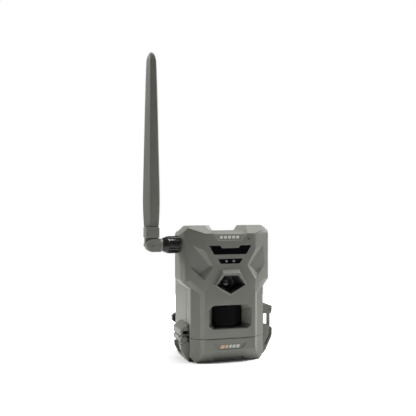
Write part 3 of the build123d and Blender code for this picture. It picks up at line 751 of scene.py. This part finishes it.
def make_lever_grip():
    """Finger ridges on the lever's tail."""
    low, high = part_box("latch_lever")
    grow = Growth("finger_ridges", Count=4, Length=(high.y - low.y) * 0.62, Thick=0.7 * MM)
    step = grow.index()
    place = grow.vector(43.9 * MM + step * 0.62 * MM, (low.y + high.y) / 2, 9.0 * MM + step * 1.35 * MM)
    bar = grow.box(grow.vector(grow.size("Thick"), grow.size("Length"), grow.size("Thick")))
    ridges = grow.copies(grow.points(grow.size("Count"), place), bar, grow.vector(0.0, -0.45, 0.0))
    mesh = bevelled(grow.mesh(ridges, CASE), 0.2 * MM, 2, 30.0)
    piece("latch_lever_ridges", mesh, CASE, "latch_lever", "case_green")


def finish_plain_nodes():
    """CAD nodes whose shape is right take their finish here."""
    finishes = {
        BLACK: ("power_button", "test_button", "tact_switches", "mic_mesh"),
        ANTENNA: ("elbow_pin",),
        GLASS: ("ir_leds",),
        RUBBER: ("housing_gasket", "door_gasket"),
        STEEL: (
            "hinge_pin", "latch_pin", "link_pin", "battery_contacts", "memory_slot", "sim_slot",
            "pir_sensor", "modem_module", "radiator_core",
        ),
        BRASS: ("antenna_jack", "jack_nut", "tripod_insert"),
        BOARD: ("main_board", "camera_board", "ir_board", "control_board"),
        GREY: ("memory_card", "sim_card", "image_sensor"),
        JACKET: ("battery_cells",),
    }
    for material, names in finishes.items():
        for name in names:
            for slot in NODES[name].material_slots:
                slot.material = material


# ---- Studio ----
TENT_DARK, TENT_MIDDLE, TENT_LIGHT = (0.10, 0.10, 0.10), (0.45, 0.45, 0.45), (1.0, 1.0, 1.0)
TENT_POWER = 0.20
FLOOR_RADIUS, FLOOR_SIDES = 0.46, 96


def make_stage():
    """A pale round floor, small enough that its rim is as bright as the backdrop."""
    mesh = bpy.data.meshes.new("floor")
    turns = [math.tau * step / FLOOR_SIDES for step in range(FLOOR_SIDES)]
    rim = [(FLOOR_RADIUS * math.cos(turn), FLOOR_RADIUS * math.sin(turn), 0) for turn in turns]
    mesh.from_pydata(rim, [], [tuple(range(FLOOR_SIDES))])
    floor = bpy.data.objects.new("floor", mesh)
    bpy.context.scene.collection.objects.link(floor)
    f = Finish("pale_floor", (0.90, 0.90, 0.90), 0.7)
    f.set("Base Color", f.blend(f.noise(0.4), (0.89, 0.89, 0.89), (0.92, 0.92, 0.92)))
    mesh.materials.append(f.material)


def soft_light(name, place, target, size, power):
    data = bpy.data.lights.new(name, "AREA")
    data.shape = "RECTANGLE"
    data.size, data.size_y = size
    data.energy = power
    lamp = bpy.data.objects.new(name, data)
    lamp.location = place
    lamp.rotation_euler = (Vector(target) - Vector(place)).to_track_quat("-Z", "Y").to_euler()
    bpy.context.scene.collection.objects.link(lamp)


def make_world():
    """White behind the camera's view, and a soft tent around the object, dark towards the front."""
    world = bpy.data.worlds.new("studio")
    world.use_nodes = True
    bpy.context.scene.world = world
    tree = world.node_tree
    tent = tree.nodes["Background"]
    towards = new_node(tree, "ShaderNodeTexCoord", output=0)
    rear = new_node(tree, "ShaderNodeSeparateXYZ", output=1, Vector=towards)
    shade = rear * 0.5 + 0.5
    stops = ((0.0, TENT_DARK), (0.45, TENT_MIDDLE), (1.0, TENT_LIGHT))
    ramp = new_node(tree, "ShaderNodeValToRGB", {"stops": stops}, Fac=shade)
    tree.links.new(ramp.out, tent.inputs["Color"])
    tent.inputs["Strength"].default_value = TENT_POWER
    backdrop = new_node(tree, "ShaderNodeBackground", Color=(1, 1, 1, 1), Strength=1.0)
    seen = new_node(tree, "ShaderNodeLightPath", output=0)
    mix = new_node(tree, "ShaderNodeMixShader", i0=seen, i1=Sock(tree, tent.outputs[0]), i2=backdrop)
    tree.links.new(mix.out, tree.nodes["World Output"].inputs["Surface"])


def make_lights():
    middle = (0, 0, 0.08)
    soft_light("left_box", (-0.80, 0.34, 0.60), middle, (0.5, 0.6), 13.5)
    soft_light("top_box", (0.10, 0.02, 1.05), middle, (0.6, 0.6), 10.0)
    soft_light("right_high", (0.74, -0.06, 0.78), middle, (0.3, 0.3), 10.5)
    soft_light("right_rim", (0.86, 0.30, 0.48), middle, (0.3, 0.6), 8.0)
    soft_light("front_fill", (0.20, -1.3, 0.45), middle, (0.6, 0.6), 0.9)


def make_camera():
    data = bpy.data.cameras.new("camera")
    data.sensor_width = 36.0
    data.lens = 56.25
    data.shift_y = -0.0048
    data.clip_start = 0.01
    camera = bpy.data.objects.new("camera", data)
    camera.location = (-0.2115, FRONT_Y - 0.5946, 0.152)
    camera.rotation_euler = (math.pi / 2, 0, -math.radians(17.60))
    bpy.context.scene.collection.objects.link(camera)
    bpy.context.scene.camera = camera


make_case()
make_windows()
make_lens()
make_motion_lens()
make_marks()
make_antenna()
make_screws()
make_springs()
make_lever_grip()
finish_plain_nodes()
make_stage()
make_world()
make_lights()
make_camera()
bpy.context.scene.view_settings.view_transform = "Standard"
